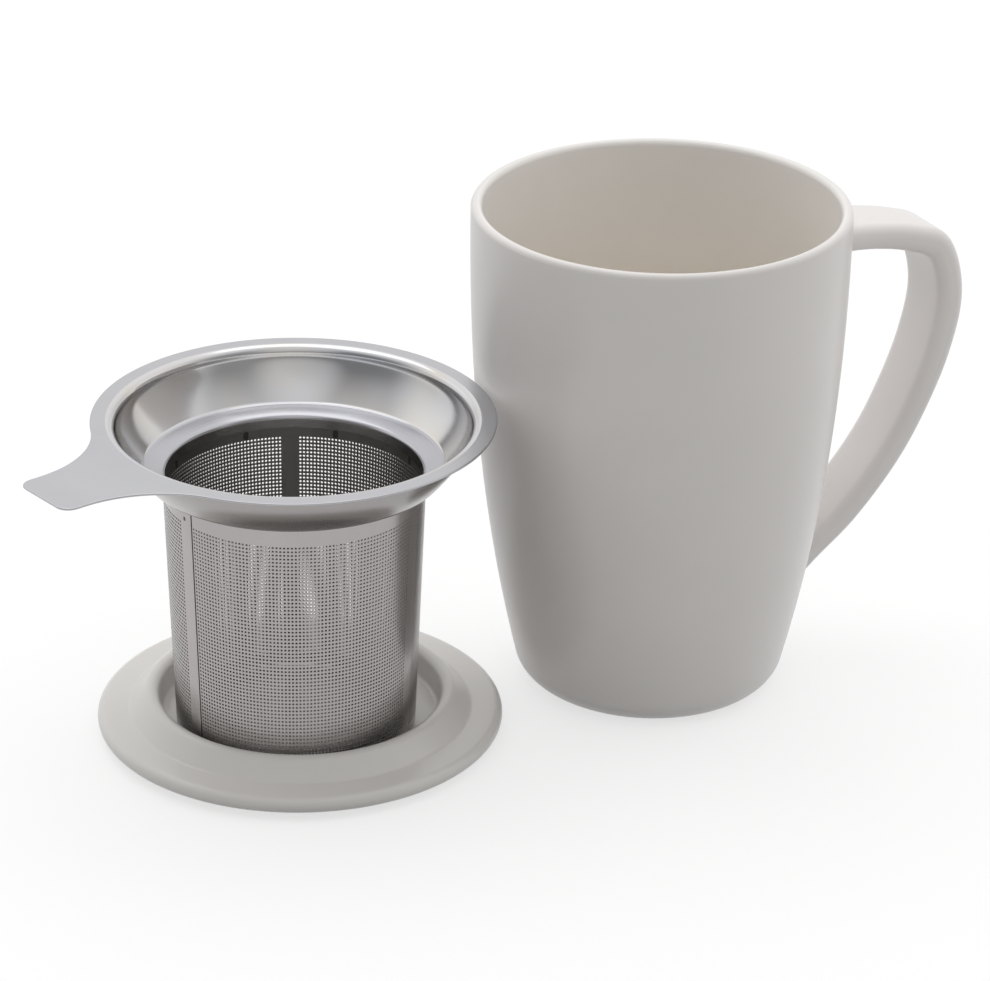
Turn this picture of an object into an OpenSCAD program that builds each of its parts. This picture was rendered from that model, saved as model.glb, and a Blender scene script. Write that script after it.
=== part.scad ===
// Lidded tea mug with infuser: a porcelain mug, its loose lid set down upside
// down as a saucer, and a steel infuser standing in the lid's well.
// Millimetres, +Z up. The origin is the centre of the mug's foot on the table.

/* [Mug] */
// Height of the mug
mug_h = 118; // [90:1:150]
// Outside radius of the mug at its rim
mug_rim_r = 43.3; // [40:0.1:48]
// How far the wall draws in between the rim and the foot
mug_taper = 13.2; // [6:0.2:16]
// How low the wall starts to draw in, higher is lower
mug_taper_power = 2.3; // [1.5:0.1:3.5]
// Thickness of the mug's wall
mug_wall = 2.6; // [2:0.1:3.5]
// Thickness of the mug's floor
mug_floor = 4.5; // [3:0.5:8]
// Rounding between the wall and the foot
foot_round = 6; // [3:0.5:8]
// Width of the ring that the mug stands on
foot_ring_w = 4; // [2:0.5:8]
// Depth of the recess inside that ring
foot_recess = 1.2; // [0.5:0.1:2]
// Rounding between the inside wall and the floor
mug_floor_round = 9; // [3:0.5:14]

/* [Handle] */
// Angle of the handle from +X, turned away from the front
handle_turn = 27.5; // [0:0.5:45]
// Width of the strap at its upper root
handle_w_top = 17.5; // [10:0.5:20]
// Width of the strap at its lower root
handle_w_low = 16.5; // [10:0.5:20]
// Thickness of the strap at its upper root
handle_t_top = 6.3; // [4:0.2:8]
// Thickness of the strap at its outer bend
handle_t_bend = 6.9; // [5:0.2:11]
// Thickness of the strap at its lower root
handle_t_low = 5.8; // [4:0.2:9]
// Reach of the strap's middle line outside the rim
handle_reach = 32; // [24:0.5:38]
// Depth of the strap's middle line below the rim at its upper root
handle_drop = 13.85; // [9:0.05:18]
// Height of the strap's middle line at its lower root
handle_low_z = 23.8; // [18:0.2:32]
// Radius of the strap's rounded edges
handle_edge = 2.9; // [1:0.1:3]

/* [Lid] */
// How far the lid's edge stands out past the infuser's rim
lid_overhang = 1.3; // [0.4:0.1:4]
// Thickness of the lid's edge
lid_edge_t = 3.8; // [3:0.1:5]
// Height of the edge's lower side over the table
lid_edge_lift = 1.7; // [0.2:0.1:2.4]
// Radius of the flat top face, which lies on the table
lid_flat_r = 36; // [30:1:40]
// Thickness of the lid inside its collar
lid_floor = 3.2; // [2.5:0.1:4.5]
// Height of the collar's crest over the table
collar_h = 10.1; // [8.6:0.1:14]
// Radius of the collar's inner wall
collar_in_r = 32.2; // [32:0.1:33.4]
// Clearance of the collar's foot inside the infuser's bowl, when the lid is on
collar_gap = 0.6; // [0.1:0.05:0.9]
// Thickness of the collar at its crest
collar_crest_t = 4.2; // [2.5:0.1:5]
// Rounding between the collar's outer slope and the lid's edge
collar_foot_round = 1.2; // [0.5:0.1:3]
// Gap between the infuser's sleeve and the collar where it stands nearest
well_gap = 0.3; // [0.2:0.05:3]
// Direction in which the infuser stands off the well's centre
well_turn = -100; // [-180:5:180]

/* [Infuser] */
// Height of the infuser
infuser_h = 76.2; // [60:0.1:90]
// How far the infuser's flat rim stands out past the mug's rim
rim_overhang = 2; // [1:0.1:4]
// Clearance of the bowl inside the mug's rim, when the infuser hangs in it
bowl_gap = 0.3; // [0.2:0.05:1]
// Thickness of the rim, bowl and neck sheet
funnel_t = 0.5; // [0.4:0.05:0.7]
// Bend between the flat rim and the bowl
rim_bend = 2; // [1:0.1:2.4]
// Depth of the bowl down to its shelf
bowl_depth = 11.4; // [8:0.1:15]
// Radius where the bowl meets its shelf
shelf_r = 33.8; // [31.5:0.1:35]
// Fall of the shelf towards the neck
shelf_fall = 0.9; // [0.8:0.1:2]
// Bend between the shelf and the neck
neck_bend = 1.2; // [0.8:0.1:1.4]
// Length of the neck
neck_l = 3; // [2:0.1:5]
// Length of the lifting tab past the rim
tab_len = 22.4; // [18:0.1:30]
// Width of the tab
tab_w = 18; // [10:0.2:24]
// Radius of the hollow curves where the tab runs into the rim
tab_fillet = 26; // [10:0.5:32]
// Rounding of the tab's corners
tab_corner = 3.2; // [1:0.1:5]
// Direction of the tab about the infuser's axis
tab_turn = -140; // [-175:0.5:-95]
// Gap between the infuser's rim and the widest part of the mug beside it
set_gap = 0.3; // [0.1:0.1:30]
// Direction from the mug's axis to the infuser's axis
set_turn = -156.9; // [-180:0.1:-120]

/* [Sleeve] */
// Outside radius of the sleeve at its top
sleeve_top_r = 29.6; // [28:0.05:31]
// How far the sleeve narrows towards its base
sleeve_taper = 2.2; // [0.4:0.1:3]
// Thickness of the sleeve's sheet
sleeve_t = 0.4; // [0.3:0.05:0.5]
// Width of the lapped seam
seam_w = 4.4; // [2:0.2:8]
// Thickness that the lap adds inside the sleeve
seam_t = 0.3; // [0.2:0.05:0.4]
// Direction of the seam about the infuser's axis
seam_turn = -141; // [-175:1:-110]
// Thickness of the base disc
base_t = 0.5; // [0.3:0.05:0.8]
// Rounding between the base and its turned-up rim
base_round = 1.2; // [1:0.1:2]
// Height of the base's turned-up rim
base_rim_h = 4; // [3:0.5:8]
// Gap between sheets that are spot welded
weld_gap = 0.03; // [0.01:0.01:0.1]

/* [Hidden] */

$fn = 180;
porcelain = [0.86, 0.85, 0.83];
steel = [0.74, 0.74, 0.76];
mesh_steel = [0.62, 0.61, 0.6];

wall_steps = 28;   // levels along the mug's wall
arc_steps = 8;     // chords in a rounding
edge_steps = 6;    // chords of the curve under the lid's edge
bowl_steps = 10;   // chords down the infuser's bowl

// Points of an arc about [x, y], from one angle to another.
function arc(x, y, r, from, to, steps = arc_steps) =
    [for (i = [0:steps]) let (a = from + (to - from) * i / steps)
        [x + r * cos(a), y + r * sin(a)]];

// The outline of a sheet t thick whose one face is the line: its other face is the
// same line moved to its left, with mitred corners.
function left_of(a, b) = let (d = (b - a) / norm(b - a)) [-d[1], d[0]];
function other_face(line, i, t) = let (
    last = len(line) - 1,
    before = left_of(line[max(i - 1, 0)], line[max(i, 1)]),
    after = left_of(line[min(i, last - 1)], line[min(i + 1, last)]))
    line[i] + t * (before + after) / (1 + before * after);
function sheet(line, t) =
    concat(line, [for (i = [len(line) - 1:-1:0]) other_face(line, i, t)]);

// ---- Mug ----
// The rim's rounding is a half circle over the wall.
rim_round = mug_wall / 2;
// Radius of the outside wall at height z: the wall draws in by a power of its depth.
function wall_r(z) = mug_rim_r - mug_taper * pow(1 - z / mug_h, mug_taper_power);
// How far a rounding of radius r takes a wall in at height z over its foot.
function round_in(z, r) = z >= r ? 0 : r - sqrt(r * r - pow(r - z, 2));
function mug_out_r(z) = wall_r(z) - round_in(z, foot_round);
floor_z = foot_recess + mug_floor;
function mug_in_r(z) = wall_r(z) - mug_wall - round_in(z - floor_z, mug_floor_round);
// Levels of the wall: close together in the rounding at its foot, then even.
function levels(low, high, rounding) = concat(
    [for (i = [0:arc_steps - 1]) low + rounding * (1 - cos(90 * i / arc_steps))],
    [for (i = [0:wall_steps]) low + rounding + (high - low - rounding) * i / wall_steps]);
wall_top = mug_h - rim_round;
foot_in_r = mug_out_r(0) - foot_ring_w;
mug_outside = [for (z = levels(0, wall_top, foot_round)) [mug_out_r(z), z]];
mug_inside = [for (z = levels(floor_z, wall_top, mug_floor_round)) [mug_in_r(z), z]];

module mug_body() {
    color(porcelain)
    rotate_extrude()
    polygon(concat(
        mug_outside,
        arc(wall_r(wall_top) - rim_round, wall_top, rim_round, 0, 180, 2 * arc_steps),
        [for (i = [len(mug_inside) - 1:-1:0]) mug_inside[i]],
        [[0, floor_z], [0, foot_recess], [foot_in_r - foot_recess, foot_recess], [foot_in_r, 0]]));
}

// ---- Handle ----
// The strap's middle line from its upper root to its lower one, as shares of its reach
// outside the rim and of its fall. Both ends run on into the mug's wall.
handle_shape = [
    [-0.1, 0], [0.3, 0.01], [0.66, 0.041], [0.888, 0.09], [0.992, 0.24], [0.918, 0.41],
    [0.745, 0.58], [0.525, 0.73], [0.2, 0.88], [-0.15, 0.995], [-0.55, 1.14]];
top_z = mug_h - handle_drop;
handle_line = [for (p = handle_shape)
    [mug_rim_r + handle_reach * p[0], top_z - (top_z - handle_low_z) * p[1]]];
ring_steps = 5;        // rings in each stretch of the line
side_steps = 4;        // chords in a quarter of the strap's section
bend_start = 0.1;      // share of the strap at which it starts to thicken
bend_share = 0.3;      // share of the strap at its thickest

// Catmull-Rom curve through the points, at stretch i and share t of it.
function spline(p, i, t) =
    let (a = p[max(i - 1, 0)], b = p[i], c = p[i + 1], d = p[min(i + 2, len(p) - 1)])
    0.5 * ((2 * b) + (c - a) * t + (2 * a - 5 * b + 4 * c - d) * t * t
        + (3 * b - a - 3 * c + d) * t * t * t);
handle_points = [for (i = [0:len(handle_line) - 2]) for (k = [0:ring_steps - 1])
    spline(handle_line, i, k / ring_steps)];
rings = len(handle_points) - 1;
// A smooth step from 0 to 1.
function ease(s) = s <= 0 ? 0 : s >= 1 ? 1 : s * s * (3 - 2 * s);
function strap_t(s) = s < bend_share
    ? handle_t_top + (handle_t_bend - handle_t_top) * ease((s - bend_start) / (bend_share - bend_start))
    : handle_t_bend + (handle_t_low - handle_t_bend) * ease((s - bend_share) / (1 - bend_share));
function strap_w(s) = handle_w_top + (handle_w_low - handle_w_top) * ease(s);
// A rounded oblong section, w across and t thick, with edges of radius r.
function oblong(w, t, r) = [for (q = [0:3]) for (k = [0:side_steps])
    let (a = 90 * q + 90 * k / side_steps,
         cx = (q == 0 || q == 3 ? 1 : -1) * (w / 2 - r),
         cy = (q < 2 ? 1 : -1) * (t / 2 - r))
    [cx + r * cos(a), cy + r * sin(a)]];
// The edges are as round as the thinner roots allow.
function edge_r(t) = min(handle_edge, 0.46 * t);
function heading(i) = let (
    a = handle_points[max(i - 1, 0)], b = handle_points[min(i + 1, rings)], d = b - a) d / norm(d);
function strap_ring(i) = let (
    s = i / rings, d = heading(i), p = handle_points[i], t = strap_t(s))
    [for (q = oblong(strap_w(s), t, edge_r(t)))
        [p[0] - d[1] * q[1], q[0], p[1] + d[0] * q[1]]];

module strap() {
    n = 4 * (side_steps + 1);
    points = [for (i = [0:rings]) each strap_ring(i)];
    sides = [for (i = [0:rings - 1]) for (k = [0:n - 1]) let (
        a = i * n + k, b = i * n + (k + 1) % n) each [[a, a + n, b], [b, a + n, b + n]]];
    caps = [[for (k = [0:n - 1]) k], [for (k = [n - 1:-1:0]) rings * n + k]];
    polyhedron(points, concat(sides, caps));
}

module mug_handle() {
    color(porcelain)
    rotate([0, 0, handle_turn])
    difference() {
        strap();
        rotate_extrude() polygon(concat([[0, 0]], mug_outside, [[0, wall_top]]));
    }
}

// ---- Places and fits that the lid, the infuser and the mug share ----
rim_r = mug_rim_r + rim_overhang;
lid_r = rim_r + lid_overhang;
bowl_in_r = mug_rim_r - mug_wall - bowl_gap - funnel_t;
collar_foot_r = bowl_in_r - collar_gap;
infuser_z = lid_floor;
rim_top = infuser_z + infuser_h;
shelf_z = rim_top - bowl_depth;
lip_z = shelf_z - shelf_fall;
neck_end = lip_z - neck_l;
// The sleeve is a cone from the base's rounding up to the neck's bend.
sleeve_low = infuser_z + base_round;
sleeve_top = lip_z - neck_bend - weld_gap;
function sleeve_r(z) = sleeve_top_r - sleeve_taper * (sleeve_top - z) / (sleeve_top - sleeve_low);
// The infuser stands beside the mug, and the lid lies under it, off centre.
set_reach = mug_rim_r + rim_r + set_gap;
infuser_x = set_reach * cos(set_turn);
infuser_y = set_reach * sin(set_turn);
well_offset = collar_in_r - sleeve_r(sleeve_low) - well_gap;
lid_x = infuser_x - well_offset * cos(well_turn);
lid_y = infuser_y - well_offset * sin(well_turn);

// ---- Lid, upside down: the face that lies on the table is its outer top ----
edge_round = lid_edge_t / 2;
plate_z = lid_edge_lift + lid_edge_t;
crest_round = collar_crest_t / 2;
crest = [collar_in_r + crest_round, collar_h - crest_round];
// The collar's outer slope runs from its foot to touch the crest's rounding.
to_foot = [collar_foot_r, plate_z] - crest;
slope_a = atan2(to_foot[1], to_foot[0]) + acos(crest_round / norm(to_foot));
foot_a = 90 - slope_a;
foot_x = collar_foot_r + collar_foot_round * tan(foot_a / 2);
// The underside rises to the edge along a parabola.
lid_under = [for (i = [0:edge_steps]) let (s = i / edge_steps)
    [lid_flat_r + (lid_r - edge_round - lid_flat_r) * s, lid_edge_lift * s * s]];

module lid() {
    color(porcelain)
    translate([lid_x, lid_y, 0])
    rotate_extrude()
    polygon(concat(
        [[0, 0]],
        lid_under,
        arc(lid_r - edge_round, plate_z - edge_round, edge_round, -90, 90, 2 * arc_steps),
        arc(foot_x, plate_z + collar_foot_round, collar_foot_round, -90, -90 - foot_a),
        arc(crest[0], crest[1], crest_round, slope_a, 180, 2 * arc_steps),
        arc(collar_in_r - base_round, lid_floor + base_round, base_round, 0, -90),
        [[0, lid_floor]]));
}

// ---- Infuser ----
module at_infuser() {
    translate([infuser_x, infuser_y, 0]) children();
}

// The neck goes down inside the sleeve.
neck_r = sleeve_r(neck_end) - sleeve_t - weld_gap - funnel_t;
// The bowl's radius falls as a power of its depth: steep at first, then rounding in.
bowl_power = 1.35;
bowl_top = rim_top - rim_bend;
bowl = [for (i = [1:bowl_steps]) let (s = i / bowl_steps)
    [bowl_in_r - (bowl_in_r - shelf_r) * pow(s, bowl_power), bowl_top - (bowl_top - shelf_z) * s]];
shelf_a = atan(shelf_fall / (shelf_r - neck_r - neck_bend));
// The flat rim is a plate with the tab on it. The rest is turned, and meets the plate
// halfway across the flat.
flat_r = (bowl_in_r + rim_bend + rim_r) / 2;
// The upper face of the sheet, from the flat down to the neck's end.
funnel_line = concat(
    [[flat_r, rim_top]],
    arc(bowl_in_r + rim_bend, bowl_top, rim_bend, 90, 180),
    bowl,
    arc(neck_r + neck_bend, lip_z - neck_bend, neck_bend, 90 + shelf_a, 180),
    [[neck_r, neck_end]]);

// The tab is a strip with rounded corners, run into the rim by two hollow curves.
tab_half = tab_w / 2;
tab_end = rim_r + tab_len;
hollow_y = tab_half + tab_fillet;
hollow_x = sqrt(pow(rim_r + tab_fillet, 2) - pow(hollow_y, 2));
module rim_plate() {
    difference() {
        union() {
            circle(rim_r);
            translate([0, -tab_half]) square([tab_end - tab_corner, tab_w]);
            translate([0, tab_corner - tab_half]) square([tab_end, tab_w - 2 * tab_corner]);
            for (side = [-1, 1]) {
                translate([tab_end - tab_corner, side * (tab_half - tab_corner)])
                    circle(tab_corner);
                polygon([[0, 0], [hollow_x, side * hollow_y], [hollow_x, 0]]);
            }
        }
        for (side = [-1, 1]) translate([hollow_x, side * hollow_y]) circle(tab_fillet);
        circle(flat_r);
    }
}

module infuser_funnel() {
    color(steel)
    at_infuser() {
        rotate_extrude() polygon(sheet(funnel_line, funnel_t));
        rotate([0, 0, tab_turn]) translate([0, 0, rim_top - funnel_t])
            linear_extrude(funnel_t) rim_plate();
    }
}

module infuser_sleeve() {
    color(mesh_steel)
    at_infuser() {
        rotate_extrude() polygon([
            [sleeve_r(sleeve_low), sleeve_low], [sleeve_top_r, sleeve_top],
            [sleeve_top_r - sleeve_t, sleeve_top], [sleeve_r(sleeve_low) - sleeve_t, sleeve_low]]);
        sleeve_seam();
    }
}

// The lap of the seam: the sheet's end, lying inside the wall between the neck and the
// base's rim.
seam_low = infuser_z + base_rim_h + weld_gap;
seam_high = neck_end - weld_gap;
module sleeve_seam() {
    span = seam_w / sleeve_top_r * 180 / PI;
    rotate([0, 0, seam_turn - span / 2])
    rotate_extrude(angle = span) polygon([
        [sleeve_r(seam_low) - sleeve_t, seam_low], [sleeve_r(seam_high) - sleeve_t, seam_high],
        [sleeve_r(seam_high) - sleeve_t - seam_t, seam_high],
        [sleeve_r(seam_low) - sleeve_t - seam_t, seam_low]]);
}

// The base: a disc with a rounded edge and a rim turned up inside the sleeve.
function base_r(z) = sleeve_r(z) - sleeve_t - weld_gap;
base_line = concat(
    [[0, infuser_z]],
    arc(base_r(sleeve_low) - base_round, sleeve_low, base_round, -90, 0),
    [[base_r(infuser_z + base_rim_h), infuser_z + base_rim_h]]);
module infuser_base() {
    color(mesh_steel)
    at_infuser() rotate_extrude() polygon(sheet(base_line, base_t));
}

mug_body();
mug_handle();
lid();
infuser_funnel();
infuser_sleeve();
infuser_base();
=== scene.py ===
"""Looks of a lidded tea mug with infuser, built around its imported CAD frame.

Lengths are millimetres until a mesh is made, where MM turns them to metres. Every
shape is a grid, a turned profile or a swept section, worked out as whole arrays.
"""

from __future__ import annotations

import logging
import math
from dataclasses import dataclass
from enum import Enum

import bmesh
import bpy
import numpy as np
from mathutils import Matrix, Vector


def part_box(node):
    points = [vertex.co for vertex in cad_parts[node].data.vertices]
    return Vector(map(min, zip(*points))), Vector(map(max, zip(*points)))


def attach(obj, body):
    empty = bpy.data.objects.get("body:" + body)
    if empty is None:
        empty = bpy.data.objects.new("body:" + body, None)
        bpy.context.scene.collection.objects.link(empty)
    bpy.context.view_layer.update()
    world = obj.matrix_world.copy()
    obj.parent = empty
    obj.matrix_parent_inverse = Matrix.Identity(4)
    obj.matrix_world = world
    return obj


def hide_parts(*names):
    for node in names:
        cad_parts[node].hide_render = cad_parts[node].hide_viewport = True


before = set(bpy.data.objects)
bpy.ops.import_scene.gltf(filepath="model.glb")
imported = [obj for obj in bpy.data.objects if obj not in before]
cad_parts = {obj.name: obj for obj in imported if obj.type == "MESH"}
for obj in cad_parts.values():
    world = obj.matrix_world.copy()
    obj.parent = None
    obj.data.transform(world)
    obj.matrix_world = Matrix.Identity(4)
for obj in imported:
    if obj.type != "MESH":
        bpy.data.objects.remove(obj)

Array = np.ndarray
Socket = bpy.types.NodeSocket
Piece = bpy.types.Object
Pair = tuple[float, float]
Triple = tuple[float, float, float]

MM = 0.001
SAME = 1e-6
MERGE = 2e-6
TINY = 1e-9
NOISE_SPAN = (0.3, 0.7)
OCTAGON = np.radians(22.5 + 45 * np.arange(8))
LOG = logging.getLogger("tea_mug")


class Finish(Enum):
    """The finishes of the set, by the record's material slot that each belongs to."""

    MUG = "mug_porcelain"
    LID = "lid_porcelain"
    POLISHED = "polished_steel"
    SHEET = "perforated_steel"


# ---- Shapes ----


def unit(vectors: Array) -> Array:
    """Vectors divided by their lengths."""
    return vectors / np.linalg.norm(vectors, axis=-1, keepdims=True)


def arc(x: float, y: float, radius: float, start: float, end: float, steps: int = 12) -> Array:
    """Points of an arc: (x, y) plus radius times (cos a, sin a), a in even steps of degrees."""
    a = np.radians(np.linspace(start, end, steps + 1))
    return np.stack([x + radius * np.cos(a), y + radius * np.sin(a)], axis=1)


def line(start: Pair, end: Pair, steps: int = 1) -> Array:
    """Points of a straight line: start plus a share of the way to end, in even steps."""
    share = np.linspace(0, 1, steps + 1)[:, None]
    return np.array(start) + share * (np.array(end) - np.array(start))


def joined(*parts: Array) -> Array:
    """Join runs of points into one, leaving out a point that repeats the one before it."""
    points = np.vstack(parts)
    return points[np.linalg.norm(np.diff(points, axis=0, prepend=np.inf), axis=1) > SAME]


def left_offset(points: Array, distance: float) -> Array:
    """Move a line to its left, with mitred corners.

    A corner moves by distance times (a + b) / (1 + a.b), with a and b the left
    normals of the stretches before and after it.

    Args:
        points: the line, as an array of 2-D points.
        distance: how far it moves.

    Returns:
        The moved line, with as many points.
    """
    step = unit(np.diff(points, axis=0))
    normal = np.stack([-step[:, 1], step[:, 0]], axis=1)
    before = np.vstack([normal[:1], normal])
    after = np.vstack([normal, normal[-1:]])
    dot = np.sum(before * after, axis=1, keepdims=True)
    return points + distance * (before + after) / (1 + dot)


def about(centre: Pair, radius: Array, angle: Array, z: Array) -> Array:
    """Points round an upright axis: (x + r cos a, y + r sin a, z)."""
    flat = centre[0] + radius * np.cos(angle), centre[1] + radius * np.sin(angle)
    return np.stack(np.broadcast_arrays(*flat, z), axis=-1)


def turned_by(degrees: float, points: Array, centre: Pair = (0.0, 0.0)) -> Array:
    """Turn points (u, v, w) about an axis: (x + u cos a - v sin a, y + u sin a + v cos a, w)."""
    (u, v, w), a = np.moveaxis(points, -1, 0), math.radians(degrees)
    return np.stack([centre[0] + u * math.cos(a) - v * math.sin(a),
                     centre[1] + u * math.sin(a) + v * math.cos(a), w], axis=-1)


def eased(count: int) -> Array:
    """Shares from 0 to 1, closer at both ends: 0.5 - 0.5 cos a, a in even steps of half a turn."""
    return 0.5 - 0.5 * np.cos(np.linspace(0, math.pi, count))


def smooth_step(share: Array) -> Array:
    """A step from 0 to 1 along 3 s^2 - 2 s^3, flat at both ends."""
    s = np.clip(share, 0, 1)
    return s * s * (3 - 2 * s)


def rounded_in(height: Array, radius: float) -> Array:
    """How far a rounding takes a wall in: radius - sqrt(radius^2 - (radius - height)^2)."""
    depth = np.clip(radius - height, 0, radius)
    return radius - np.sqrt(radius**2 - depth**2)


def fan(sides: int, hub: int) -> Array:
    """Triangles from each side of a ring of points to the point with the index hub."""
    k = np.arange(sides)
    return np.stack([k, np.roll(k, -1), np.full(sides, hub)], axis=1)


def grid_faces(rows: int, columns: int, close_rows: bool = False, close_columns: bool = True) -> Array:
    """Quads of a grid whose point (i, j) has the index i * columns + j.

    Args:
        rows: number of rows of points.
        columns: number of points in a row.
        close_rows: whether the last row joins the first.
        close_columns: whether the last column joins the first.

    Returns:
        An array of quads. They face outwards where rows run anticlockwise round a
        section, seen with the radius to the right, and columns anticlockwise about +Z.
    """
    i = np.arange(rows if close_rows else rows - 1)[:, None]
    j = np.arange(columns if close_columns else columns - 1)[None, :]
    up, right = (i + 1) % rows, (j + 1) % columns
    quads = [i * columns + j, i * columns + right, up * columns + right, up * columns + j]
    return np.stack(np.broadcast_arrays(*quads), axis=-1).reshape(-1, 4)


class Shape:
    """Vertices and faces of one piece, in millimetres, gathered block by block."""

    def __init__(self) -> None:
        """Start with nothing."""
        self.points: list[Array] = []
        self.faces: list[Array] = []
        self.slots: list[Array] = []
        self.count = 0

    def add(self, points: Array, faces: Array, slot: int | Array = 0) -> None:
        """Add a block of vertices and the faces among them.

        Args:
            points: vertices, with x, y and z last.
            faces: indices into these vertices, three or four to a face.
            slot: material slot of the faces, or of each face.
        """
        flat = points.reshape(-1, 3)
        self.points.append(flat)
        self.more_faces(faces, slot, self.count)
        self.count += len(flat)

    def more_faces(self, faces: Array, slot: int | Array = 0, first: int = 0) -> None:
        """Add faces among vertices that start at index first."""
        self.faces.append(faces + first)
        self.slots.append(np.broadcast_to(slot, (len(faces),)))

    def turn(self, profile: Array, centre: Pair, columns: int, slot: int | Array = 0) -> None:
        """Add a turned solid: (r, z) becomes (x + r cos t, y + r sin t, z) for t round the circle.

        Args:
            profile: closed section, anticlockwise with the radius to the right.
            centre: x and y of the axis.
            columns: number of steps round the circle.
            slot: material slot, or one for each point of the profile.
        """
        t = np.arange(columns) * 2 * math.pi / columns
        by_row = np.broadcast_to(slot, (len(profile),))
        self.add(about(centre, profile[:, :1], t, profile[:, 1:]),
                 grid_faces(len(profile), columns, close_rows=True), np.repeat(by_row, columns))

    def piece(self, name: str, crease: float = 40.0) -> Piece:
        """Make the object: coincident vertices are merged, and faces shade smooth.

        Args:
            name: name of the object.
            crease: angle in degrees past which an edge shades sharp.

        Returns:
            The object, linked to the scene, at the origin.
        """
        points = np.vstack(self.points) * MM
        sizes = np.concatenate([np.full(len(f), f.shape[1]) for f in self.faces])
        corners = np.concatenate([f.ravel() for f in self.faces])
        mesh = bpy.data.meshes.new(name)
        mesh.vertices.add(len(points))
        mesh.vertices.foreach_set("co", points.astype(np.float32).ravel())
        mesh.loops.add(len(corners))
        mesh.loops.foreach_set("vertex_index", corners.astype(np.int32))
        mesh.polygons.add(len(sizes))
        mesh.polygons.foreach_set("loop_start", (np.cumsum(sizes) - sizes).astype(np.int32))
        mesh.polygons.foreach_set("material_index", np.concatenate(self.slots).astype(np.int32))
        mesh.update(calc_edges=True)
        work = bmesh.new()
        work.from_mesh(mesh)
        bmesh.ops.remove_doubles(work, verts=work.verts, dist=MERGE)
        work.to_mesh(mesh)
        work.free()
        mesh.shade_smooth()
        mesh.set_sharp_from_angle(angle=math.radians(crease))
        made = bpy.data.objects.new(name, mesh)
        bpy.context.scene.collection.objects.link(made)
        return made


# ---- Finishes ----


class Nodes:
    """A node tree under construction, with short calls to add and join its nodes."""

    def __init__(self, owner: bpy.types.Material | bpy.types.World) -> None:
        """Start with the owner's tree, emptied.

        Args:
            owner: the material or world.
        """
        owner.use_nodes = True
        self.tree = owner.node_tree
        self.tree.nodes.clear()

    def node(self, kind: str, settings: dict | None = None, **inputs: object) -> bpy.types.Node:
        """Add a node.

        Args:
            kind: the node's type, without ShaderNode before it.
            settings: attributes of the node.
            inputs: value or output socket for each input, by its name with _ for a space,
                or by i and its number.

        Returns:
            The node.
        """
        made = self.tree.nodes.new("ShaderNode" + kind)
        for key, value in (settings or {}).items():
            setattr(made, key, value)
        for key, value in inputs.items():
            self.feed(made, int(key[1:]) if key[1:].isdigit() else key.replace("_", " "), value)
        return made

    def feed(self, node: bpy.types.Node, key: str | int, value: object) -> None:
        """Set an input of a node, or link an output socket to it.

        Args:
            node: the node.
            key: name or number of the input.
            value: what it gets.
        """
        if isinstance(value, Socket):
            self.tree.links.new(value, node.inputs[key])
        else:
            node.inputs[key].default_value = value

    def compute(self, operation: str, one: Socket, two: Socket | float) -> Socket:
        """A value worked out from two others."""
        return self.node("Math", {"operation": operation}, i0=one, i1=two).outputs[0]

    def vector(self, operation: str, one: Socket, **inputs: object) -> bpy.types.NodeOutputs:
        """Outputs of a vector worked out from another."""
        return self.node("VectorMath", {"operation": operation}, i0=one, **inputs).outputs

    def ramp(self, value: Socket, span: Pair, ends: Pair, kind: str = "SMOOTHSTEP") -> Socket:
        """Map a value that runs through a span to two ends, smoothly if kind isn't given."""
        return self.node("MapRange", {"interpolation_type": kind}, Value=value, From_Min=span[0],
                         From_Max=span[1], To_Min=ends[0], To_Max=ends[1]).outputs[0]

    def mix(self, share: Socket, *ends: Triple | Socket) -> Socket:
        """A colour between two others, by a share of 0 to 1."""
        low, high = (end if isinstance(end, Socket) else (*end, 1) for end in ends)
        return self.node("Mix", {"data_type": "RGBA"}, i0=share, i6=low, i7=high).outputs[2]

    def seen_directly(self) -> Socket:
        """Tell what the eye, metal and glass see from what only lights the set.

        Returns:
            1 for a camera, glossy or transmission ray, else 0.
        """
        path = self.node("LightPath").outputs
        shown = path["Is Camera Ray"]
        for ray in ("Is Glossy Ray", "Is Transmission Ray"):
            shown = self.compute("MAXIMUM", shown, path[ray])
        return shown


class Recipe(Nodes):
    """A material under construction."""

    def __init__(self, name: str) -> None:
        """Start a node material with a surface shader.

        Args:
            name: name of the material.
        """
        self.material = bpy.data.materials.new(name)
        super().__init__(self.material)
        self.shader = self.node("BsdfPrincipled")
        self.output = self.node("OutputMaterial", Surface=self.shader.outputs[0])

    def set(self, **inputs: object) -> None:
        """Set or link inputs of the surface shader, by name with _ for a space."""
        for key, value in inputs.items():
            self.feed(self.shader, key.replace("_", " "), value)

    def place(self, centre: Pair = (0.0, 0.0)) -> Socket:
        """Object coordinates in metres, with a vertical axis at centre, in millimetres."""
        spot, (x, y) = self.node("TexCoord").outputs["Object"], centre
        return self.node("Mapping", Vector=spot, Location=(-x * MM, -y * MM, 0)).outputs[0]

    def noise(self, where: Socket, scale: float, detail: float = 3.0) -> Socket:
        """Noise value at a place, with scale in features per metre."""
        return self.node("TexNoise", Vector=where, Scale=scale, Detail=detail).outputs[0]

    def spread(self, value: Socket, low: float = 0.0, high: float = 1.0) -> Socket:
        """Map the middle range of a noise value to low and high."""
        return self.ramp(value, NOISE_SPAN, (low, high), "LINEAR")

    def bump(self, *layers: tuple[Socket, float]) -> None:
        """Raise the surface by layers of relief, each laid on the one before it.

        Args:
            layers: height of 0 to 1 and depth in millimetres of each.
        """
        under: dict[str, Socket] = {}
        for height, depth in layers:
            made = self.node("Bump", Height=height, Distance=depth * MM, Strength=1.0, **under)
            under = {"Normal": made.outputs[0]}
        self.set(**under)


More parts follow.
